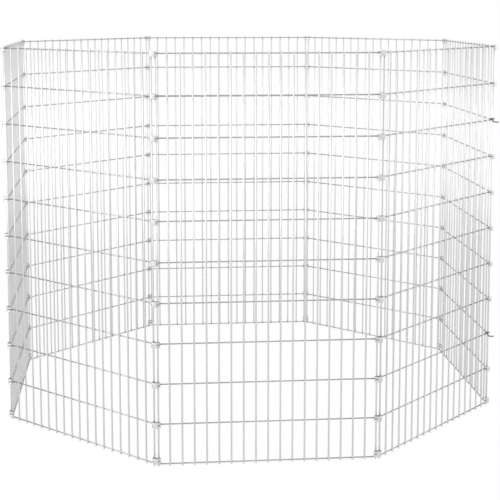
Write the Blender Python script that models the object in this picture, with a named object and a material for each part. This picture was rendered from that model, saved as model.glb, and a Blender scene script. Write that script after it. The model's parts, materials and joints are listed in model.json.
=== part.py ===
# Folding animal pen: eight welded wire panels in a ring, strip clips that hinge them, and two latch hooks.
# Metres, +Z up. The origin is on the ground at the middle of the ring. The front panel faces -Y.
# Seen from above, the panels run anticlockwise from corner 0 (front left), with their inside on the left.

import math

import bmesh
import bpy
from mathutils import Vector

MM = 0.001

# Ring
PANEL_NAMES = [
    "panel_front",
    "panel_front_right",
    "panel_right",
    "panel_back_right",
    "panel_back",
    "panel_back_left",
    "panel_left",
    "panel_front_left",
]
GATE = 1  # the front right panel swings as the gate, and closes against the right panel
LINK = 11 * MM  # between the two end wires that share a clip

# Panel: upright wires outside, level wires inside
ROW_PITCH = 100 * MM
ROWS = 10
COLUMN_PITCH = 30 * MM
INNER_COLUMNS = 17
END_GAP = 27.8 * MM  # from an end wire to the upright next to it
END_WIRE = 4.4 * MM  # diameter
UPRIGHT_WIRE = 3.5 * MM  # diameter
LEVEL_WIRE = 3.0 * MM  # diameter
WIRE_SIDES = 6
TIP = 4.5 * MM  # upright past the middle of the lowest and of the highest level wire
OVERHANG = 1.5 * MM  # level wire past the middle of the end wire
WELD = 0.2 * MM  # how far two welded wires sink into each other

# Hinge clip: a sheet strip bent round both end wires, slotted where the level wires come out
STRIP = 0.9 * MM
CLIP_END = 4.3 * MM  # from an end wire's middle to the clip's end
CLIP_INSIDE = 3.4 * MM  # from the end wires' line to the clip's inner face
CLIP_OUTSIDE = 8.0 * MM  # from the end wires' line to the clip's outer face
UPPER_BAND = 4.0 * MM  # height of strip above the slot
LOWER_BAND = 5.5 * MM  # height of strip below the slot
SLOT_ROOM = 0.7 * MM  # free height under a level wire in the slot
SEAT = 0.3 * MM  # gap kept where one piece rests on another
LEVELS_PER_CLIP = 2  # every second level has its clips as solids

# Closing clip: the same strip round the gate's end wire only, open towards the panel that it closes against
LAP = 3.5 * MM  # how far its inner lip reaches past the end wire
LIP_ROOM = 2.0 * MM  # its outer lip ends this far short of the next end wire's middle, so that panel swings past it

# Latch hook: wire bent into an eye round the gate's end wire, a dropped arm and a finger
HOOK_WIRE = 3.0 * MM  # diameter
HOOK_SIDES = 6
HOOK_LEVELS = {"lower": 2, "upper": 8}
EYE_ROOM = 0.7 * MM  # between the eye and the end wire
ARM_ROOM = 1.0 * MM  # between the closed arm and the end wire that it passes
FINGER_ROOM = 1.2 * MM  # between the closed finger and that wire
FINGER_LENGTH = 6.0 * MM
ARM_DROP = 9.0 * MM  # from the eye down to the arm's tip
ARM_FALL = 1.5 * MM  # part of that drop that the straight arm takes
EYE_OPENING = math.radians(60)
EYE_STEPS = 10
BEND_STEPS = 3

SHARP_EDGE = math.radians(62)
MARKER = 30 * MM  # drawn size of the empties on the pivots

PANELS = len(PANEL_NAMES)
TURN = 2 * math.pi / PANELS
SPAN = 2 * END_GAP + (INNER_COLUMNS - 1) * COLUMN_PITCH
LEG = LINK / 2 / math.cos(TURN / 2)  # from an end wire to the ring's true corner
SIDE = SPAN + 2 * LEG
APOTHEM = SIDE / 2 / math.tan(TURN / 2)
HEIGHT = ROWS * ROW_PITCH + 2 * TIP
END_LEVEL_OFFSET = UPRIGHT_WIRE / 2 + LEVEL_WIRE / 2 - WELD  # lowest and highest level wire
MIDDLE_LEVEL_OFFSET = END_WIRE / 2 + LEVEL_WIRE / 2 - WELD
SLOT_TOP = LEVEL_WIRE / 2 + SEAT  # the clip hangs here on the level wire
SLOT_BOTTOM = -LEVEL_WIRE / 2 - SLOT_ROOM


def clear_scene():
    for thing in list(bpy.data.objects):
        bpy.data.objects.remove(thing, do_unlink=True)


def zinc(name, colour, roughness):
    made = bpy.data.materials.new(name)
    made.use_nodes = True
    shader = made.node_tree.nodes["Principled BSDF"]
    shader.inputs["Base Color"].default_value = (*colour, 1)
    shader.inputs["Metallic"].default_value = 0.7
    shader.inputs["Roughness"].default_value = roughness
    made.diffuse_color = (*colour, 1)
    return made


def place(thing, parent, location=(0, 0, 0), turn=0.0):
    thing.parent = parent
    thing.location = location
    thing.rotation_euler = (0, 0, turn)
    bpy.context.scene.collection.objects.link(thing)
    return thing


def empty(name, parent, location, turn):
    thing = bpy.data.objects.new(name, None)
    thing.empty_display_size = MARKER
    return place(thing, parent, location, turn)


def finish(mesh, name, material):
    mesh.name = name
    mesh.materials.clear()
    mesh.materials.append(material)
    mesh.shade_smooth()
    mesh.set_sharp_from_angle(angle=SHARP_EDGE)
    return mesh


def mesh_from(work, name, material):
    mesh = bpy.data.meshes.new(name)
    work.to_mesh(mesh)
    work.free()
    return finish(mesh, name, material)


def evaluated_mesh(thing):
    """The mesh of an object with its modifiers or bevel applied. The object itself is removed."""
    bpy.context.view_layer.update()
    mesh = bpy.data.meshes.new_from_object(thing.evaluated_get(bpy.context.evaluated_depsgraph_get()))
    bpy.data.objects.remove(thing, do_unlink=True)
    return mesh


def wire(work, start, end, diameter, edge_towards):
    """A straight wire as a prism, with one of its edges towards the given direction."""
    start, end = Vector(start), Vector(end)
    along = (end - start).normalized()
    up = Vector(edge_towards).normalized()
    side = along.cross(up)
    rings = []
    for point in (start, end):
        ring = []
        for step in range(WIRE_SIDES):
            angle = 2 * math.pi * step / WIRE_SIDES
            spoke = up * math.cos(angle) + side * math.sin(angle)
            ring.append(work.verts.new(point + diameter / 2 * spoke))
        rings.append(ring)
    for step in range(WIRE_SIDES):
        following = (step + 1) % WIRE_SIDES
        work.faces.new((rings[0][step], rings[0][following], rings[1][following], rings[1][step]))
    work.faces.new(rings[0][::-1])
    work.faces.new(rings[1])


def column_places():
    """Where the uprights stand along a panel, from the middle of its first end wire."""
    inner = [END_GAP + step * COLUMN_PITCH for step in range(INNER_COLUMNS)]
    return [0.0, *inner, SPAN]


def level_height(level):
    return TIP + level * ROW_PITCH


def panel_mesh(material):
    """Two end wires, the uprights between them and the level wires, welded into one grid round its rim.

    Every level wire is welded to both end wires, and every upright to the lowest and highest level wire.
    The inner crossings lie 0.25 mm apart, so that the grid keeps few faces.
    """
    uprights = bmesh.new()
    for place_along in column_places():
        diameter = END_WIRE if place_along in (0.0, SPAN) else UPRIGHT_WIRE
        wire(uprights, (place_along, 0, 0), (place_along, 0, HEIGHT), diameter, (0, 1, 0))
    levels = bmesh.new()
    for level in range(ROWS + 1):
        offset = END_LEVEL_OFFSET if level in (0, ROWS) else MIDDLE_LEVEL_OFFSET
        height = level_height(level)
        wire(levels, (-OVERHANG, offset, height), (SPAN + OVERHANG, offset, height), LEVEL_WIRE, (0, -1, 0))
    grid = bpy.data.objects.new("grid", mesh_from(uprights, "uprights", material))
    cross = bpy.data.objects.new("cross", mesh_from(levels, "levels", material))
    for helper in (grid, cross):
        place(helper, None)
    weld = grid.modifiers.new("weld", "BOOLEAN")
    weld.operation = "UNION"
    weld.object = cross
    welded = evaluated_mesh(grid)
    bpy.data.objects.remove(cross, do_unlink=True)
    return finish(welded, "welded_panel", material)


def strip_plan(points, closed):
    """(outer point, inner point) for each bend of the strip: the inner one lies one thickness to the left."""
    points = [Vector(point) for point in points]
    count = len(points)
    pairs = []
    for index, point in enumerate(points):
        before = points[index - 1] if closed or index else None
        after = points[(index + 1) % count] if closed or index < count - 1 else None
        normals = []
        for start, end in ((before, point), (point, after)):
            if start is not None and end is not None:
                along = (end - start).normalized()
                normals.append(Vector((-along.y, along.x)))
        middle = sum(normals, Vector((0, 0))).normalized()
        pairs.append((point, point + middle * STRIP / middle.dot(normals[0])))
    return pairs


def strip_mesh(name, points, closed, slotted, material):
    """A bent strip standing on edge, from below its slot to above it.

    slotted says, for each straight stretch, whether the slot runs through it.
    """
    heights = [SLOT_BOTTOM - LOWER_BAND, SLOT_BOTTOM, SLOT_TOP, SLOT_TOP + UPPER_BAND]
    work = bmesh.new()
    rings = []
    for height in heights:
        plan = strip_plan(points, closed)
        rings.append([[work.verts.new((*flat, height)) for flat in pair] for pair in plan])
    count = len(points)
    stretches = range(count if closed else count - 1)
    solid = {
        (stretch, band): band != 1 or not slotted[stretch]
        for stretch in stretches
        for band in range(3)
    }

    def face(*corners):
        work.faces.new(corners)

    for (stretch, band), filled in solid.items():
        if not filled:
            continue
        after = (stretch + 1) % count
        low, high = rings[band], rings[band + 1]
        face(low[stretch][0], low[after][0], high[after][0], high[stretch][0])
        face(low[after][1], low[stretch][1], high[stretch][1], high[after][1])
        if band == 0 or not solid[stretch, band - 1]:
            face(low[stretch][1], low[after][1], low[after][0], low[stretch][0])
        if band == 2 or not solid[stretch, band + 1]:
            face(high[stretch][0], high[after][0], high[after][1], high[stretch][1])
        before = (stretch - 1) % count
        if (before not in stretches) or not solid[before, band]:
            face(low[stretch][1], low[stretch][0], high[stretch][0], high[stretch][1])
        if (after not in stretches) or not solid[after, band]:
            face(low[after][0], low[after][1], high[after][1], high[after][0])
    loose = [vert for vert in work.verts if not vert.link_faces]
    bmesh.ops.delete(work, geom=loose, context="VERTS")
    return mesh_from(work, name, material)


def hinge_clip_mesh(material):
    """Closed round both end wires. X runs from one to the other, and -Y is the outside of the ring."""
    shoulder = CLIP_OUTSIDE - CLIP_END
    points = [
        (0, -CLIP_OUTSIDE),
        (LINK, -CLIP_OUTSIDE),
        (LINK + CLIP_END, -shoulder),
        (LINK + CLIP_END, CLIP_INSIDE),
        (-CLIP_END, CLIP_INSIDE),
        (-CLIP_END, -shoulder),
    ]
    slotted = [False] + [True] * (len(points) - 1)
    return strip_mesh("hinge_clip", points, True, slotted, material)


def closing_clip_mesh(material):
    """Round the gate's end wire only, with an outer lip that bridges most of the gap to the next panel."""
    shoulder = CLIP_OUTSIDE - CLIP_END
    points = [
        (LAP, CLIP_INSIDE),
        (-CLIP_END, CLIP_INSIDE),
        (-CLIP_END, -shoulder),
        (0, -CLIP_OUTSIDE),
        (LINK - LIP_ROOM, -CLIP_OUTSIDE),
    ]
    slotted = [True] * 2 + [False] * 2
    return strip_mesh("closing_clip", points, False, slotted, material)


def hook_path():
    """The hook's middle line as it stands open: eye round the Z axis, arm along -Y, finger along +X."""
    eye = END_WIRE / 2 + EYE_ROOM + HOOK_WIRE / 2
    arm = END_WIRE / 2 + ARM_ROOM + HOOK_WIRE / 2
    reach = LINK + END_WIRE / 2 + FINGER_ROOM + HOOK_WIRE / 2
    bend = HOOK_WIRE
    path = []
    for step in range(EYE_STEPS + 1):
        angle = EYE_OPENING - math.pi + (2 * math.pi - EYE_OPENING) * step / EYE_STEPS
        path.append(Vector((eye * math.cos(angle), eye * math.sin(angle), 0)))
    path.append(Vector((-arm, -bend, ARM_FALL - ARM_DROP)))
    corner = Vector((-arm + bend, -reach + bend, -ARM_DROP))
    for step in range(BEND_STEPS + 1):
        angle = math.pi + math.pi / 2 * step / BEND_STEPS
        path.append(corner + bend * Vector((math.cos(angle), math.sin(angle), 0)))
    path.append(Vector((-arm + FINGER_LENGTH, -reach, -ARM_DROP)))
    return path


def hook_mesh(material):
    line = bpy.data.curves.new("hook_line", "CURVE")
    line.dimensions = "3D"
    line.bevel_depth = HOOK_WIRE / 2
    line.bevel_resolution = HOOK_SIDES // 2 - 2
    line.use_fill_caps = True
    path = hook_path()
    spline = line.splines.new("POLY")
    spline.points.add(len(path) - 1)
    for point, place_at in zip(spline.points, path):
        point.co = (*place_at, 1)
    carrier = place(bpy.data.objects.new("hook_line", line), None)
    return finish(evaluated_mesh(carrier), "latch_hook", material)


def clip_height(level):
    """The lowest clip stands on the bottom wire. The others hang on their level wire by the slot."""
    if level == 0:
        return level_height(0) + LEVEL_WIRE / 2 + SEAT - (SLOT_BOTTOM - LOWER_BAND)
    return level_height(level)


def add_clips(name, mesh, parent, along, turn, levels):
    for level in levels:
        clip = bpy.data.objects.new(f"{name}_level_{level:02d}", mesh)
        place(clip, parent, (along, 0, clip_height(level)), turn)


def add_corner(corner, carrier, sense, panel, clip_mesh, grid):
    """The clips on a panel's far end wire, and the next panel on the clips' other side.

    sense is 1 where the ring goes on anticlockwise and -1 where it goes on clockwise. The carrier's X axis
    runs along its panel that way. An empty stands on each of the two end wires that the clips turn on, and
    the second one is returned: it carries the next panel.
    """
    turn = sense * TURN / 2
    clips = empty(f"clips_pivot_{corner}", carrier, (SPAN, 0, 0), turn)
    next_carrier = empty(f"panel_pivot_{corner}", clips, (LINK, 0, 0), turn)
    # Going clockwise, both shapes are turned round, so that their outside stays outside
    back = sense < 0
    flip = math.pi if back else 0.0
    levels = range(0, ROWS + 1, LEVELS_PER_CLIP)
    add_clips(f"hinge_clip_corner_{corner}", clip_mesh, clips, LINK if back else 0, flip, levels)
    next_panel = bpy.data.objects.new(PANEL_NAMES[panel], grid)
    place(next_panel, next_carrier, (SPAN if back else 0, 0, 0), flip)
    return next_carrier


def build():
    clear_scene()
    wire_zinc = zinc("zinc_wire", (0.62, 0.63, 0.63), 0.42)
    strip_zinc = zinc("zinc_strip", (0.72, 0.73, 0.73), 0.38)
    hook_zinc = zinc("zinc_hook", (0.40, 0.41, 0.42), 0.45)
    grid = panel_mesh(wire_zinc)
    clip = hinge_clip_mesh(strip_zinc)

    front = place(bpy.data.objects.new(PANEL_NAMES[0], grid), None, (-SPAN / 2, -APOTHEM, 0))

    # The gate: anticlockwise from the front panel, with the closing clips and hooks on its far end wire
    gate = add_corner(GATE, front, 1, GATE, clip, grid)
    closing_levels = [
        level for level in range(0, ROWS + 1, LEVELS_PER_CLIP) if level not in HOOK_LEVELS.values()
    ]
    add_clips("closing_clip", closing_clip_mesh(strip_zinc), gate, SPAN, TURN / 2, closing_levels)
    hook = hook_mesh(hook_zinc)
    for name, level in HOOK_LEVELS.items():
        eye_height = level_height(level) + LEVEL_WIRE / 2 + SEAT + HOOK_WIRE / 2
        place(bpy.data.objects.new(f"latch_hook_{name}", hook), gate, (SPAN, 0, eye_height), TURN / 2)

    # The other six: clockwise from the front panel, each carried by the one before
    carrier = empty("clockwise_start", front, (SPAN, 0, 0), math.pi)
    for corner in [0, *range(PANELS - 1, GATE + 1, -1)]:
        carrier = add_corner(corner, carrier, -1, (corner - 1) % PANELS, clip, grid)


build()
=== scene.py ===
# Folding animal pen: round galvanised wire, spot welds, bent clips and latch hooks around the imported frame
import json
import math

import bmesh
import bpy
from mathutils import Matrix, Vector


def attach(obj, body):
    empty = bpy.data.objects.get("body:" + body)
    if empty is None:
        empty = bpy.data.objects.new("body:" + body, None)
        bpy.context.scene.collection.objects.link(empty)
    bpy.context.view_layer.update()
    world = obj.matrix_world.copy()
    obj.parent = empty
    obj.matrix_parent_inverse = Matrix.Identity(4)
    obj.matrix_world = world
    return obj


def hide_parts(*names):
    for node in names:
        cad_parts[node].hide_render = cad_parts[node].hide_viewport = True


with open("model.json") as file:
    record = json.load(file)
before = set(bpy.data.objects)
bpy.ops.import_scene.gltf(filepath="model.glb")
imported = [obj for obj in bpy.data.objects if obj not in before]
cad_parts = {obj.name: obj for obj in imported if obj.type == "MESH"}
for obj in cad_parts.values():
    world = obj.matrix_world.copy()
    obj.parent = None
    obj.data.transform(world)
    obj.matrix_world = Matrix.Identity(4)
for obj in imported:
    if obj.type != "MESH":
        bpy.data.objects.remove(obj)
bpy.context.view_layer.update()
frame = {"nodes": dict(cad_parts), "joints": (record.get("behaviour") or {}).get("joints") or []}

mm = 0.001
scene = bpy.context.scene

# Where each panel's two end wires stand comes from the joints, anticlockwise from the front panel
pivot = {joint["name"]: Vector(joint["pos_m"]) for joint in frame["joints"]}
panelOrder = ["front", "front_right", "right", "back_right", "back", "back_left", "left", "front_left"]
gatePanel, openCorner = 1, 2  # corner N is where panel N starts, and the ring opens at the gate's far end
hingedCorners = [corner for corner in range(len(panelOrder)) if corner != openCorner]
starts = {0: pivot["corner_0_clips_turn"], 1: pivot["gate_swing"]}  # an end wire, by the number of its panel
ends = {0: pivot["gate_clips_swing"], 1: pivot["latch_hook_lower_turn"], 7: pivot["corner_0_panel_turn"]}
for corner in (3, 4, 5, 6, 7):
    starts[corner] = pivot[f"corner_{corner}_clips_turn"]
    ends[corner - 1] = pivot[f"corner_{corner}_panel_turn"]
for wires in (starts, ends):
    for number in wires:
        wires[number] = wires[number].to_2d()
span = (ends[0] - starts[0]).length
alongX = Vector((1, 0))
headingOf = {number: (ends[number] - starts[number]).angle_signed(alongX) for number in hingedCorners}
heading = headingOf[1] + (headingOf[1] - headingOf[0])  # no joint stands at the start of panel 2
headingOf[openCorner] = heading
starts[openCorner] = ends[openCorner] - span * Vector((math.cos(heading), math.sin(heading)))
link = (starts[1] - ends[0]).length


def standAt(place, heading):
    return Matrix.Translation((place.x, place.y, 0)) @ Matrix.Rotation(heading, 4, "Z")


def cornerFrame(corner):  # X from one end wire to the next across the corner, -Y outside the ring
    before = ends[(corner - 1) % len(panelOrder)]
    across = starts[corner] - before
    return standAt(before, math.atan2(across.y, across.x))


# Finish of each zinc surface, the level wires' with painted shade: pattern scales are per metre, and rough
# is the light zinc's, then the dark's
finishes = {
    "uprightZinc": {
        "light": (0.68, 0.685, 0.68), "dark": (0.59, 0.595, 0.59), "rough": (0.28, 0.38),
        "metallic": 0.85, "grain": (520, 520, 14), "grainBump": 0.1, "spangle": 420, "slow": 5.0,
    },
    # level wires: the same zinc as the uprights, with painted shade: a darker base colour stands in for the
    # shade that falls on horizontal wires
    "levelZincPaintedShade": {
        "light": (0.45, 0.455, 0.46), "dark": (0.36, 0.365, 0.37), "rough": (0.30, 0.46),
        "metallic": 0.85, "grain": (34, 34, 620), "grainBump": 0.1, "spangle": 420, "slow": 5.0,
    },
    "weldZinc": {
        "light": (0.58, 0.58, 0.58), "dark": (0.40, 0.40, 0.41), "rough": (0.42, 0.60),
        "metallic": 0.80, "grain": (900, 900, 900), "grainBump": 0.5, "spangle": 500, "slow": 9.0,
    },
    "stripZinc": {
        "light": (0.69, 0.69, 0.68), "dark": (0.57, 0.57, 0.56), "rough": (0.34, 0.46),
        "metallic": 0.75, "grain": (140, 140, 700), "grainBump": 0.15, "spangle": 420, "slow": 9.0,
    },
    "hookZinc": {
        "light": (0.20, 0.205, 0.21), "dark": (0.11, 0.115, 0.12), "rough": (0.34, 0.52),
        "metallic": 0.85, "grain": (420, 420, 420), "grainBump": 0.3, "spangle": 420, "slow": 9.0,
    },
}
zincPattern = {
    "grainDetail": 4.0, "grainRoughness": 0.6, "slowDetail": 3.0, "spangleShare": 0.2, "slowShare": 0.7,
    "darkBelow": 0.6, "lightAbove": 1.3,  # of the grain plus the shares of spangle and slow stretches
    "grainDepth": 0.05 * mm,
}


def nodeMaker(tree):
    def add(kind, **settings):
        node = tree.nodes.new(kind)
        for name, value in settings.items():
            setattr(node, name, value)
        return node

    def join(outSocket, inSocket):
        tree.links.new(outSocket, inSocket)

    return add, join


def zincMaterial(name, look):
    material = bpy.data.materials.new(name)
    material.use_nodes = True
    tree = material.node_tree
    tree.nodes.clear()
    add, join = nodeMaker(tree)
    place = add("ShaderNodeTexCoord").outputs["Object"]

    grainMap = add("ShaderNodeMapping")  # fine lines left by drawing the wire or rolling the strip
    grainMap.inputs["Scale"].default_value = look["grain"]
    join(place, grainMap.inputs["Vector"])
    grain = add("ShaderNodeTexNoise")
    grain.inputs["Scale"].default_value = 1
    grain.inputs["Detail"].default_value = zincPattern["grainDetail"]
    grain.inputs["Roughness"].default_value = zincPattern["grainRoughness"]
    join(grainMap.outputs["Vector"], grain.inputs["Vector"])

    spangle = add("ShaderNodeTexVoronoi")  # crystals in the zinc coat
    spangle.inputs["Scale"].default_value = look["spangle"]
    join(place, spangle.inputs["Vector"])
    spangleTone = add("ShaderNodeSeparateColor")
    join(spangle.outputs["Color"], spangleTone.inputs["Color"])

    slow = add("ShaderNodeTexNoise")  # dull and bright stretches from the zinc bath
    slow.inputs["Scale"].default_value = look["slow"]
    slow.inputs["Detail"].default_value = zincPattern["slowDetail"]
    join(place, slow.inputs["Vector"])

    blend = add("ShaderNodeMath", operation="MULTIPLY_ADD")
    join(spangleTone.outputs["Red"], blend.inputs[0])
    blend.inputs[1].default_value = zincPattern["spangleShare"]
    join(grain.outputs["Fac"], blend.inputs[2])
    tone = add("ShaderNodeMath", operation="MULTIPLY_ADD")
    join(slow.outputs["Fac"], tone.inputs[0])
    tone.inputs[1].default_value = zincPattern["slowShare"]
    join(blend.outputs["Value"], tone.inputs[2])
    ramp = add("ShaderNodeMapRange")
    ramp.inputs["From Min"].default_value = zincPattern["darkBelow"]
    ramp.inputs["From Max"].default_value = zincPattern["lightAbove"]
    join(tone.outputs["Value"], ramp.inputs["Value"])

    colour = add("ShaderNodeMix", data_type="RGBA")
    colour.inputs["A"].default_value = (*look["dark"], 1)
    colour.inputs["B"].default_value = (*look["light"], 1)
    join(ramp.outputs["Result"], colour.inputs["Factor"])
    rough = add("ShaderNodeMapRange")
    rough.inputs["To Min"].default_value = look["rough"][1]
    rough.inputs["To Max"].default_value = look["rough"][0]
    join(ramp.outputs["Result"], rough.inputs["Value"])

    bump = add("ShaderNodeBump")
    bump.inputs["Strength"].default_value = look["grainBump"]
    bump.inputs["Distance"].default_value = zincPattern["grainDepth"]
    join(grain.outputs["Fac"], bump.inputs["Height"])

    shader = add("ShaderNodeBsdfPrincipled")
    shader.inputs["Metallic"].default_value = look["metallic"]
    join(colour.outputs["Result"], shader.inputs["Base Color"])
    join(rough.outputs["Result"], shader.inputs["Roughness"])
    join(bump.outputs["Normal"], shader.inputs["Normal"])
    join(shader.outputs["BSDF"], add("ShaderNodeOutputMaterial").inputs["Surface"])
    material.diffuse_color = (*look["light"], 1)
    return material


zinc = {name: zincMaterial(name, look) for name, look in finishes.items()}
print("finishes:", ", ".join(zinc))


# Small builders shared by the pieces
def unitObject(name, work, sharpDegrees=40):
    mesh = bpy.data.meshes.new(name)
    bmesh.ops.recalc_face_normals(work, faces=work.faces)
    work.to_mesh(mesh)
    work.free()
    mesh.shade_smooth()
    mesh.set_sharp_from_angle(angle=math.radians(sharpDegrees))
    made = bpy.data.objects.new(name, mesh)
    scene.collection.objects.link(made)
    return made


def loft(rings):  # a closed skin over rings of points
    work = bmesh.new()
    loops = [[work.verts.new(point) for point in ring] for ring in rings]
    for low, high in zip(loops, loops[1:]):
        for here in range(len(low)):
            after = (here + 1) % len(low)
            work.faces.new((low[here], low[after], high[after], high[here]))
    work.faces.new(loops[0][::-1])
    work.faces.new(loops[-1])
    return work


def bakedMesh(made):  # the evaluated mesh of a helper, which is then removed
    bpy.context.view_layer.update()
    mesh = bpy.data.meshes.new_from_object(made.evaluated_get(bpy.context.evaluated_depsgraph_get()))
    bpy.data.objects.remove(made, do_unlink=True)
    return mesh


def addPiece(name, mesh, place, body, nodes):  # nodes are those of the frame that it stands in for
    mesh.transform(place)
    mesh.name = name
    piece = bpy.data.objects.new(name, mesh)
    scene.collection.objects.link(piece)
    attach(piece, body)
    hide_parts(*nodes)


def newTree(name, **inputs):  # a node group with its inputs' labels under their kind, such as Float
    tree = bpy.data.node_groups.new(name, "GeometryNodeTree")
    for kind, labels in inputs.items():
        for label in labels:
            tree.interface.new_socket(label, in_out="INPUT", socket_type=f"NodeSocket{kind}")
    tree.interface.new_socket("Geometry", in_out="OUTPUT", socket_type="NodeSocketGeometry")
    return tree


def runTree(tree, name, values):
    carrier = bpy.data.objects.new(name, bpy.data.meshes.new(name))
    scene.collection.objects.link(carrier)
    modifier = carrier.modifiers.new(tree.name, "NODES")
    modifier.node_group = tree
    for item in tree.interface.items_tree:
        if item.in_out == "INPUT":
            modifier[item.identifier] = values[item.name]
    return bakedMesh(carrier)


# Welded panel: uprights outside, level wires inside, a squeezed weld at every crossing
panelWires = {
    "levels": 11, "levelPitch": 100 * mm, "columns": 17, "columnPitch": 30 * mm, "endGap": 27.8 * mm,
    "endRadius": 2.2 * mm, "uprightRadius": 2.2 * mm, "levelRadius": 1.7 * mm,
    "tip": 4.5 * mm,  # upright past the lowest and the highest level wire
    "overhang": 1.5 * mm,  # level wire past the middle of the end wire
    "sink": 0.4 * mm,  # of two wires into each other at a weld
    "levelTop": 1.5 * mm,  # what hangs on a level wire bears this far above its middle
    "sides": 16, "sharpDegrees": 50,
    "cutRound": 0.35 * mm,  # rounding left where a wire was sheared off
    "cutProfile": ((0, 1.6), (0.35, 0.6), (1, 0)),  # along and in from the side, in parts of cutRound
    "weldSpread": 1.2 * mm,  # least half width of a weld
    "weldLip": 0.12 * mm,  # how far a weld stands out of the wire's side
    "weldSteps": (-0.62, -0.28, 0.0, 0.28, 0.62),  # mm from the contact, towards the level wire
    "weldSides": 10, "weldSharpDegrees": 80,
}


def wireUnit(name, radius, length, axis):
    cut = panelWires["cutRound"]
    profile = [(along * cut, radius - inwards * cut) for along, inwards in panelWires["cutProfile"]]
    profile += [(length - along, across) for along, across in reversed(profile)]
    sides = panelWires["sides"]
    rings = []
    for along, across in profile:
        ring = []
        for step in range(sides):
            angle = 2 * math.pi * step / sides
            flat = (across * math.cos(angle), across * math.sin(angle))
            ring.append((along, *flat) if axis == "X" else (*flat, along))
        rings.append(ring)
    return unitObject(name, loft(rings), panelWires["sharpDegrees"])


def weldUnit(name, uprightRadius, levelRadius):
    # the upright lies at -Y of the contact and the level wire at +Y: the weld flares out onto both
    spread, lip, sides = panelWires["weldSpread"], panelWires["weldLip"], panelWires["weldSides"]
    rings = []
    for step in panelWires["weldSteps"]:
        y = step * mm
        acrossX = acrossZ = spread
        if y < 0:
            acrossX = max(spread, math.sqrt(uprightRadius ** 2 - (uprightRadius + y) ** 2) + lip)
        if y > 0:
            acrossZ = max(spread, math.sqrt(levelRadius ** 2 - (levelRadius - y) ** 2) + lip)
        ring = []
        for side in range(sides):
            angle = 2 * math.pi * side / sides
            ring.append((acrossX * math.cos(angle), y, acrossZ * math.sin(angle)))
        rings.append(ring)
    return unitObject(name, loft(rings), panelWires["weldSharpDegrees"])


def panelTree():
    tree = newTree(
        "weldedPanel",
        Object=("End Wire", "Upright", "Level Wire", "End Weld", "Inner Weld"),
        Int=("Columns", "Levels"),
        Float=(
            "Column Pitch", "End Gap", "Span", "Level Pitch", "Lowest Level", "Overhang",
            "Upright Depth", "Level Depth", "End Contact", "Inner Contact",
        ),
    )
    add, join = nodeMaker(tree)
    given = add("NodeGroupInput").outputs
    gather = add("GeometryNodeJoinGeometry")

    def vector(x=None, y=None, z=None):
        made = add("ShaderNodeCombineXYZ")
        for axis, source in zip("XYZ", (x, y, z)):
            if source is not None:
                join(source, made.inputs[axis])
        return made.outputs["Vector"]

    def negative(source):
        made = add("ShaderNodeMath", operation="MULTIPLY")
        join(source, made.inputs[0])
        made.inputs[1].default_value = -1
        return made.outputs["Value"]

    def copies(points, unit, material):
        info = add("GeometryNodeObjectInfo")
        join(given[unit], info.inputs["Object"])
        put = add("GeometryNodeInstanceOnPoints")
        join(points, put.inputs["Points"])
        join(info.outputs["Geometry"], put.inputs["Instance"])
        real = add("GeometryNodeRealizeInstances")
        join(put.outputs["Instances"], real.inputs["Geometry"])
        dress = add("GeometryNodeSetMaterial")
        dress.inputs["Material"].default_value = zinc[material]
        join(real.outputs["Geometry"], dress.inputs["Geometry"])
        join(dress.outputs["Geometry"], gather.inputs["Geometry"])

    def line(count, start, offset):
        made = add("GeometryNodeMeshLine")
        if isinstance(count, int):
            made.inputs["Count"].default_value = count
        else:
            join(count, made.inputs["Count"])
        join(start, made.inputs["Start Location"])
        join(offset, made.inputs["Offset"])
        return made.outputs["Mesh"]

    def rowsOf(points):  # repeats a row of points at every level
        put = add("GeometryNodeInstanceOnPoints")
        join(line(given["Levels"], vector(z=given["Lowest Level"]), nextLevel), put.inputs["Points"])
        join(points, put.inputs["Instance"])
        real = add("GeometryNodeRealizeInstances")
        join(put.outputs["Instances"], real.inputs["Geometry"])
        return real.outputs["Geometry"]

    bothEnds, toFarEnd = 2, vector(given["Span"])
    nextColumn, nextLevel = vector(given["Column Pitch"]), vector(z=given["Level Pitch"])
    copies(line(bothEnds, vector(), toFarEnd), "End Wire", "uprightZinc")
    firstUpright = vector(given["End Gap"], given["Upright Depth"])
    copies(line(given["Columns"], firstUpright, nextColumn), "Upright", "uprightZinc")
    firstLevel = vector(negative(given["Overhang"]), given["Level Depth"], given["Lowest Level"])
    # level wires get the zinc whose darker base colour is painted shade
    copies(line(given["Levels"], firstLevel, nextLevel), "Level Wire", "levelZincPaintedShade")
    endRow = line(bothEnds, vector(y=given["End Contact"]), toFarEnd)
    copies(rowsOf(endRow), "End Weld", "weldZinc")
    innerRow = line(given["Columns"], vector(given["End Gap"], given["Inner Contact"]), nextColumn)
    copies(rowsOf(innerRow), "Inner Weld", "weldZinc")
    join(gather.outputs["Geometry"], add("NodeGroupOutput").inputs["Geometry"])
    return tree


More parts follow.
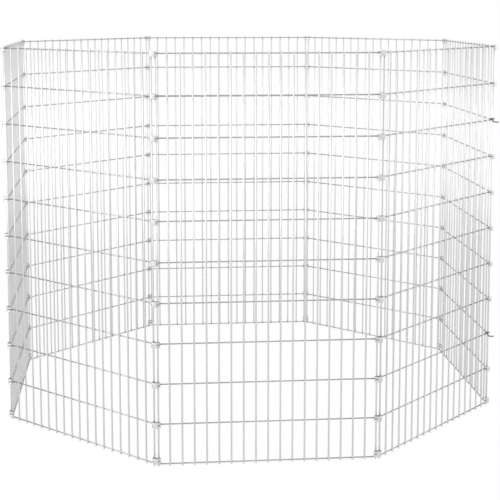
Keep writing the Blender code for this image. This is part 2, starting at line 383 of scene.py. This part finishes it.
def addPanels():
    wires = panelWires
    height = 2 * wires["tip"] + (wires["levels"] - 1) * wires["levelPitch"]
    levelDepth = wires["endRadius"] + wires["levelRadius"] - wires["sink"]
    uprightDepth = levelDepth - wires["levelRadius"] - wires["uprightRadius"] + wires["sink"]
    contact = levelDepth - wires["levelRadius"] + wires["sink"] / 2
    units = {
        "End Wire": wireUnit("endWire", wires["endRadius"], height, "Z"),
        "Upright": wireUnit("upright", wires["uprightRadius"], height, "Z"),
        "Level Wire": wireUnit("levelWire", wires["levelRadius"], span + 2 * wires["overhang"], "X"),
        "End Weld": weldUnit("endWeld", wires["endRadius"], wires["levelRadius"]),
        "Inner Weld": weldUnit("innerWeld", wires["uprightRadius"], wires["levelRadius"]),
    }
    tree = panelTree()
    grid = runTree(tree, "weldedGrid", {
        **units,
        "Columns": wires["columns"], "Column Pitch": wires["columnPitch"], "End Gap": wires["endGap"],
        "Span": span, "Levels": wires["levels"], "Level Pitch": wires["levelPitch"],
        "Lowest Level": wires["tip"], "Overhang": wires["overhang"], "Upright Depth": uprightDepth,
        "Level Depth": levelDepth, "End Contact": contact, "Inner Contact": contact,
    })
    for unit in units.values():
        bpy.data.objects.remove(unit, do_unlink=True)
    for number, side in enumerate(panelOrder):
        node = f"panel_{side}"
        body = "gate" if number == gatePanel else node
        place = standAt(starts[number], headingOf[number])
        addPiece(f"welded_{node}", grid.copy(), place, body, [node])
    print("panels:", len(panelOrder), "of", len(grid.polygons), "faces")


addPanels()


# Clips: zinc strip bent round both end wires, slotted for the level wires
clipStrip = {
    "thick": 0.9 * mm,
    "end": 5.3 * mm,  # from an end wire's middle to the clip's end
    "inside": 3.4 * mm, "outside": 8.0 * mm,  # from the end wires' line to the clip's faces
    "lap": 3.5 * mm,  # how far the closing clip's inner lip reaches past the gate's end wire
    "lipRoom": 2.0 * mm,  # its outer lip stops this short of the next end wire's middle
    "seam": 0.35 * mm,  # between the strip's two ends, on the inside of the ring
    "bend": 2.1 * mm, "bendSteps": 5,
    "edgeRound": 0.14 * mm, "edgeSteps": 2, "edgeDegrees": 50, "sharpDegrees": 35,
    "slotTop": 1.8 * mm, "slotBottom": -2.2 * mm,  # from the level wire's middle
    "upperBand": 4.0 * mm, "lowerBand": 5.5 * mm,  # height of strip above and below the slot
    "standLift": 9.5 * mm,  # the lowest clip stands on the bottom wire instead of hanging on it
    "hookLevels": (2, 8),  # a latch hook takes the place of the closing clip here
}


def roundedPath(points, radius, steps):
    points = [Vector(point) for point in points]
    path = [points[0]]
    for before, point, after in zip(points, points[1:], points[2:]):
        into, out = (point - before).normalized(), (after - point).normalized()
        turn = into.angle_signed(out)
        reach = radius * math.tan(abs(turn) / 2)
        aside = Vector((into.y, -into.x)) if turn > 0 else Vector((-into.y, into.x))
        centre = point - into * reach + aside * radius
        spoke = point - into * reach - centre
        for step in range(steps + 1):
            swing = Matrix.Rotation(-turn * step / steps, 2)
            path.append(centre + swing @ spoke)
    path.append(points[-1])
    return path


def bentStrip(name, points, isSolid):
    # stands the strip on edge; isSolid says which stretches the slot leaves whole
    strip = clipStrip
    path = roundedPath(points, strip["bend"], strip["bendSteps"])
    heights = [strip["slotBottom"] - strip["lowerBand"], strip["slotBottom"], strip["slotTop"]]
    heights.append(strip["slotTop"] + strip["upperBand"])
    bands, slotBand = range(len(heights) - 1), 1
    pairs = []
    for index, point in enumerate(path):
        into = (point - path[index - 1]).normalized() if index else None
        out = (path[index + 1] - point).normalized() if index + 1 < len(path) else None
        sides = [Vector((-way.y, way.x)) for way in (into, out) if way is not None]
        middle = sum(sides, Vector((0, 0))).normalized()
        pairs.append((point, point + middle * strip["thick"] / middle.dot(sides[0])))
    work = bmesh.new()
    rings = [[[work.verts.new((*flat, height)) for flat in pair] for pair in pairs] for height in heights]
    last = len(path) - 1
    whole = {
        (stretch, band): band != slotBand or isSolid((path[stretch] + path[stretch + 1]) / 2)
        for stretch in range(last) for band in bands
    }
    for (stretch, band), filled in whole.items():
        if not filled:
            continue
        low, high = rings[band], rings[band + 1]
        after = stretch + 1
        work.faces.new((low[stretch][0], low[after][0], high[after][0], high[stretch][0]))
        work.faces.new((low[after][1], low[stretch][1], high[stretch][1], high[after][1]))
        if not whole.get((stretch, band - 1)):
            work.faces.new((low[stretch][1], low[after][1], low[after][0], low[stretch][0]))
        if not whole.get((stretch, band + 1)):
            work.faces.new((high[stretch][0], high[after][0], high[after][1], high[stretch][1]))
        if not whole.get((stretch - 1, band)):
            work.faces.new((low[stretch][1], low[stretch][0], high[stretch][0], high[stretch][1]))
        if not whole.get((stretch + 1, band)):
            work.faces.new((low[after][0], low[after][1], high[after][1], high[after][0]))
    bmesh.ops.delete(work, geom=[vert for vert in work.verts if not vert.link_faces], context="VERTS")
    made = unitObject(name, work)
    edge = made.modifiers.new("sheared edge", "BEVEL")
    edge.width = strip["edgeRound"]
    edge.segments = strip["edgeSteps"]
    edge.limit_method = "ANGLE"
    edge.angle_limit = math.radians(strip["edgeDegrees"])
    finished = bpy.data.objects.new(name, bakedMesh(made))
    finished.data.shade_smooth()
    finished.data.set_sharp_from_angle(angle=math.radians(strip["sharpDegrees"]))
    scene.collection.objects.link(finished)
    return finished


def hingeClipUnit():
    strip = clipStrip
    shoulder = strip["outside"] - strip["end"]
    left, right = -strip["end"], link + strip["end"]
    middle, gap = link / 2, strip["seam"] / 2
    points = [
        (middle - gap, strip["inside"]), (left, strip["inside"]), (left, -shoulder),
        (0, -strip["outside"]), (link, -strip["outside"]),
        (right, -shoulder), (right, strip["inside"]), (middle + gap, strip["inside"]),
    ]
    return bentStrip("hingeClip", points, lambda spot: spot.y < -shoulder and 0 < spot.x < link)


def closingClipUnit():
    strip = clipStrip
    shoulder = strip["outside"] - strip["end"]
    left, lip = -strip["end"], link - strip["lipRoom"]
    points = [
        (strip["lap"], strip["inside"]), (left, strip["inside"]), (left, -shoulder), (0, -strip["outside"]),
        (lip, -strip["outside"]),
    ]
    return bentStrip("closingClip", points, lambda spot: spot.y < -shoulder)


def clipRowTree():
    tree = newTree(
        "clipRow",
        Object=("Clip",),
        Int=("Levels", "First Left Out", "Second Left Out"),
        Float=("Level Pitch", "Lowest Level", "Stand Lift"),
    )
    add, join = nodeMaker(tree)
    given = add("NodeGroupInput").outputs
    start, offset, lift = (add("ShaderNodeCombineXYZ") for _ in range(3))
    join(given["Lowest Level"], start.inputs["Z"])
    join(given["Level Pitch"], offset.inputs["Z"])
    join(given["Stand Lift"], lift.inputs["Z"])
    row = add("GeometryNodeMeshLine")
    join(given["Levels"], row.inputs["Count"])
    join(start.outputs["Vector"], row.inputs["Start Location"])
    join(offset.outputs["Vector"], row.inputs["Offset"])
    index = add("GeometryNodeInputIndex").outputs["Index"]

    def indexIs(number=None, source=None):
        made = add("FunctionNodeCompare", data_type="INT", operation="EQUAL")
        join(index, made.inputs["A"])
        if source is None:
            made.inputs["B"].default_value = number
        else:
            join(source, made.inputs["B"])
        return made.outputs["Result"]

    raised = add("GeometryNodeSetPosition")
    join(row.outputs["Mesh"], raised.inputs["Geometry"])
    join(indexIs(0), raised.inputs["Selection"])
    join(lift.outputs["Vector"], raised.inputs["Offset"])
    leftOut = add("FunctionNodeBooleanMath", operation="OR")
    join(indexIs(source=given["First Left Out"]), leftOut.inputs[0])
    join(indexIs(source=given["Second Left Out"]), leftOut.inputs[1])
    kept = add("GeometryNodeDeleteGeometry", domain="POINT")
    join(raised.outputs["Geometry"], kept.inputs["Geometry"])
    join(leftOut.outputs["Boolean"], kept.inputs["Selection"])
    info = add("GeometryNodeObjectInfo")
    join(given["Clip"], info.inputs["Object"])
    put = add("GeometryNodeInstanceOnPoints")
    join(kept.outputs["Geometry"], put.inputs["Points"])
    join(info.outputs["Geometry"], put.inputs["Instance"])
    real = add("GeometryNodeRealizeInstances")
    join(put.outputs["Instances"], real.inputs["Geometry"])
    dress = add("GeometryNodeSetMaterial")
    dress.inputs["Material"].default_value = zinc["stripZinc"]
    join(real.outputs["Geometry"], dress.inputs["Geometry"])
    join(dress.outputs["Geometry"], add("NodeGroupOutput").inputs["Geometry"])
    return tree


def clipRow(tree, name, unit, leftOut):
    first, second = leftOut
    mesh = runTree(tree, name, {
        "Clip": unit, "Levels": panelWires["levels"], "Level Pitch": panelWires["levelPitch"],
        "Lowest Level": panelWires["tip"], "Stand Lift": clipStrip["standLift"],
        "First Left Out": first, "Second Left Out": second,
    })
    bpy.data.objects.remove(unit, do_unlink=True)
    return mesh


def addClips():
    tree = clipRowTree()
    noLevel = -1
    row = clipRow(tree, "hingeClipRow", hingeClipUnit(), (noLevel, noLevel))
    for corner in hingedCorners:
        nodes = [node for node in frame["nodes"] if node.startswith(f"hinge_clip_corner_{corner}_")]
        body = f"clips_corner_{corner}"
        addPiece(f"hinge_clips_corner_{corner}", row.copy(), cornerFrame(corner), body, nodes)
    row = clipRow(tree, "closingClipRow", closingClipUnit(), clipStrip["hookLevels"])
    nodes = [node for node in frame["nodes"] if node.startswith("closing_clip_")]
    addPiece("closing_clips", row, cornerFrame(openCorner), "gate", nodes)
    print("clips:", len(hingedCorners), "hinged corners and the closing corner")


addClips()


# Latch hooks: one wire bent into an eye, a dropped arm and a finger
hookWire = {
    "radius": 1.7 * mm, "sides": 14, "sharpDegrees": 60,
    "eyeRoom": 0.6 * mm, "armRoom": 0.9 * mm, "fingerRoom": 0.8 * mm,  # clear of the end wires
    "seat": 0.3 * mm,  # between the level wire and the eye that rests on it
    "finger": 6.0 * mm, "drop": 9.0 * mm, "fall": 1.5 * mm,
    "eyeDegreesOpen": 60, "eyeSteps": 10, "bendSteps": 3, "smoothSteps": 4,
    "tipShare": 0.72,  # of the radius, at the sheared ends
}


def hookCorners():  # the hook's middle line as it stands open, eye round the Z axis
    hook = hookWire
    eye = panelWires["endRadius"] + hook["eyeRoom"] + hook["radius"]
    arm = panelWires["endRadius"] + hook["armRoom"] + hook["radius"]
    reach = link + panelWires["endRadius"] + hook["fingerRoom"] + hook["radius"]
    bend = 2 * hook["radius"]
    opening = math.radians(hook["eyeDegreesOpen"])
    line = []
    for step in range(hook["eyeSteps"] + 1):
        angle = opening - math.pi + (2 * math.pi - opening) * step / hook["eyeSteps"]
        line.append(Vector((eye * math.cos(angle), eye * math.sin(angle), 0)))
    line.append(Vector((-arm, -bend, hook["fall"] - hook["drop"])))
    for step in range(hook["bendSteps"] + 1):
        angle = math.pi + math.pi / 2 * step / hook["bendSteps"]
        x, y = -arm + bend + bend * math.cos(angle), -reach + bend + bend * math.sin(angle)
        line.append(Vector((x, y, -hook["drop"])))
    line.append(Vector((-arm + hook["finger"], -reach, -hook["drop"])))
    return line


def smoothLine(points, steps):  # passes through every point without kinks
    path = []
    padded = [2 * points[0] - points[1], *points, 2 * points[-1] - points[-2]]
    for a, b, c, d in zip(padded, padded[1:], padded[2:], padded[3:]):
        for step in range(steps):
            t = step / steps
            square, cube = (2 * a - 5 * b + 4 * c - d) * t ** 2, (3 * b - a - 3 * c + d) * t ** 3
            path.append(0.5 * (2 * b + (c - a) * t + square + cube))
    path.append(points[-1])
    return path


def hookUnit():
    path = smoothLine(hookCorners(), hookWire["smoothSteps"])
    curve = bpy.data.curves.new("hookLine", "CURVE")
    curve.dimensions = "3D"
    curve.bevel_depth = hookWire["radius"]
    curve.bevel_resolution = hookWire["sides"] // 2 - 2  # a bevel of resolution n has 2n + 4 sides
    curve.use_fill_caps = True
    spline = curve.splines.new("POLY")
    spline.points.add(len(path) - 1)
    for point, place in zip(spline.points, path):
        point.co = (*place, 1)
        point.radius = 1
    for tip in (0, -1):
        spline.points[tip].radius = hookWire["tipShare"]
    carrier = bpy.data.objects.new("hookLine", curve)
    scene.collection.objects.link(carrier)
    mesh = bakedMesh(carrier)
    mesh.materials.clear()
    mesh.materials.append(zinc["hookZinc"])
    mesh.shade_smooth()
    mesh.set_sharp_from_angle(angle=math.radians(hookWire["sharpDegrees"]))
    return mesh


def addHooks():
    unit = hookUnit()
    for side, level in zip(("lower", "upper"), clipStrip["hookLevels"]):
        height = panelWires["tip"] + level * panelWires["levelPitch"] + panelWires["levelTop"]
        height += hookWire["seat"] + hookWire["radius"]
        node = f"latch_hook_{side}"
        place = Matrix.Translation((0, 0, height)) @ cornerFrame(openCorner)
        addPiece(f"wire_{node}", unit.copy(), place, node, [node])
    print("latch hooks: lower and upper")


addHooks()


# Floor, world and light
studio = {
    "floorRadius": 30, "floorSides": 96, "floorColour": (0.93, 0.93, 0.93),
    "whiteShare": 0.94,  # of the floor near the pen is plain white, and the rest takes light and shadow
    "fadeFrom": 0.9, "fadeTo": 2.6,  # how far out the floor turns all white
    "skyForLight": 0.80,  # the world's strength as a light, where the eye sees it as 1
    "softboxes": {
        "keyBox": {"place": (-4.3, -1.9, 1.2), "width": 2.2, "height": 3.6, "watts": 135},
        "fillBox": {"place": (4.4, -0.7, 1.2), "width": 1.6, "height": 3.6, "watts": 55},
        "topBox": {"place": (0.6, -0.8, 4.2), "width": 2.4, "height": 2.4, "watts": 22},
    },
    "aim": (0, 0, 0.5),  # the middle of the pen
}


def seenByEye(add, join):  # 1 for camera, glossy and transmission rays
    path = add("ShaderNodeLightPath")
    both = add("ShaderNodeMath", operation="MAXIMUM")
    join(path.outputs["Is Camera Ray"], both.inputs[0])
    join(path.outputs["Is Glossy Ray"], both.inputs[1])
    every = add("ShaderNodeMath", operation="MAXIMUM")
    join(both.outputs["Value"], every.inputs[0])
    join(path.outputs["Is Transmission Ray"], every.inputs[1])
    return every.outputs["Value"]


def floorMaterial():
    material = bpy.data.materials.new("paleFloor")
    material.use_nodes = True
    material.node_tree.nodes.clear()
    add, join = nodeMaker(material.node_tree)
    distance = add("ShaderNodeVectorMath", operation="LENGTH")
    join(add("ShaderNodeTexCoord").outputs["Object"], distance.inputs[0])
    fade = add("ShaderNodeMapRange", interpolation_type="SMOOTHSTEP")
    fade.inputs["From Min"].default_value = studio["fadeFrom"]
    fade.inputs["From Max"].default_value = studio["fadeTo"]
    fade.inputs["To Min"].default_value = studio["whiteShare"]
    join(distance.outputs["Value"], fade.inputs["Value"])
    share = add("ShaderNodeMath", operation="MULTIPLY")
    join(fade.outputs["Result"], share.inputs[0])
    join(seenByEye(add, join), share.inputs[1])
    matt = add("ShaderNodeBsdfDiffuse")
    matt.inputs["Color"].default_value = (*studio["floorColour"], 1)
    white = add("ShaderNodeEmission")
    mix = add("ShaderNodeMixShader")
    join(share.outputs["Value"], mix.inputs["Fac"])
    join(matt.outputs["BSDF"], mix.inputs[1])
    join(white.outputs["Emission"], mix.inputs[2])
    join(mix.outputs["Shader"], add("ShaderNodeOutputMaterial").inputs["Surface"])
    return material


def addFloor():
    work = bmesh.new()
    bmesh.ops.create_circle(work, cap_ends=True, segments=studio["floorSides"], radius=studio["floorRadius"])
    floor = unitObject("floor", work)
    floor.data.materials.append(floorMaterial())


def addWorld():
    world = bpy.data.worlds.new("paleStudio")
    world.use_nodes = True
    world.node_tree.nodes.clear()
    add, join = nodeMaker(world.node_tree)
    light = add("ShaderNodeBackground")
    light.inputs["Strength"].default_value = studio["skyForLight"]
    seen = add("ShaderNodeBackground")
    seen.inputs["Strength"].default_value = 1
    for node in (light, seen):
        node.inputs["Color"].default_value = (1, 1, 1, 1)
    mix = add("ShaderNodeMixShader")
    join(seenByEye(add, join), mix.inputs["Fac"])
    join(light.outputs["Background"], mix.inputs[1])
    join(seen.outputs["Background"], mix.inputs[2])
    join(mix.outputs["Shader"], add("ShaderNodeOutputWorld").inputs["Surface"])
    scene.world = world


def addSoftboxes():
    aim = Vector(studio["aim"])
    for name, box in studio["softboxes"].items():
        lamp = bpy.data.lights.new(name, "AREA")
        lamp.shape = "RECTANGLE"
        lamp.size, lamp.size_y = box["width"], box["height"]
        lamp.energy = box["watts"]
        holder = bpy.data.objects.new(name, lamp)
        holder.location = box["place"]
        holder.rotation_euler = (aim - holder.location).to_track_quat("-Z", "Y").to_euler()
        scene.collection.objects.link(holder)


photoCamera = {  # fitted to the corners and wires of the pen, yaw and pitch in degrees
    "place": (-0.3097, -3.5598, 1.1209), "yaw": -5.224, "pitch": -7.02,
    "sensor": 36, "lens": 88.7, "shift": -0.19,
}


def addCamera():
    data = bpy.data.cameras.new("camera")
    data.sensor_width = photoCamera["sensor"]
    data.lens = photoCamera["lens"]
    data.shift_y = photoCamera["shift"]
    camera = bpy.data.objects.new("camera", data)
    camera.location = photoCamera["place"]
    camera.rotation_euler = (math.radians(90 + photoCamera["pitch"]), 0, math.radians(photoCamera["yaw"]))
    scene.collection.objects.link(camera)
    scene.camera = camera


addFloor()
addWorld()
addSoftboxes()
addCamera()
scene.view_settings.view_transform = "Standard"
print("floor, light and camera set")
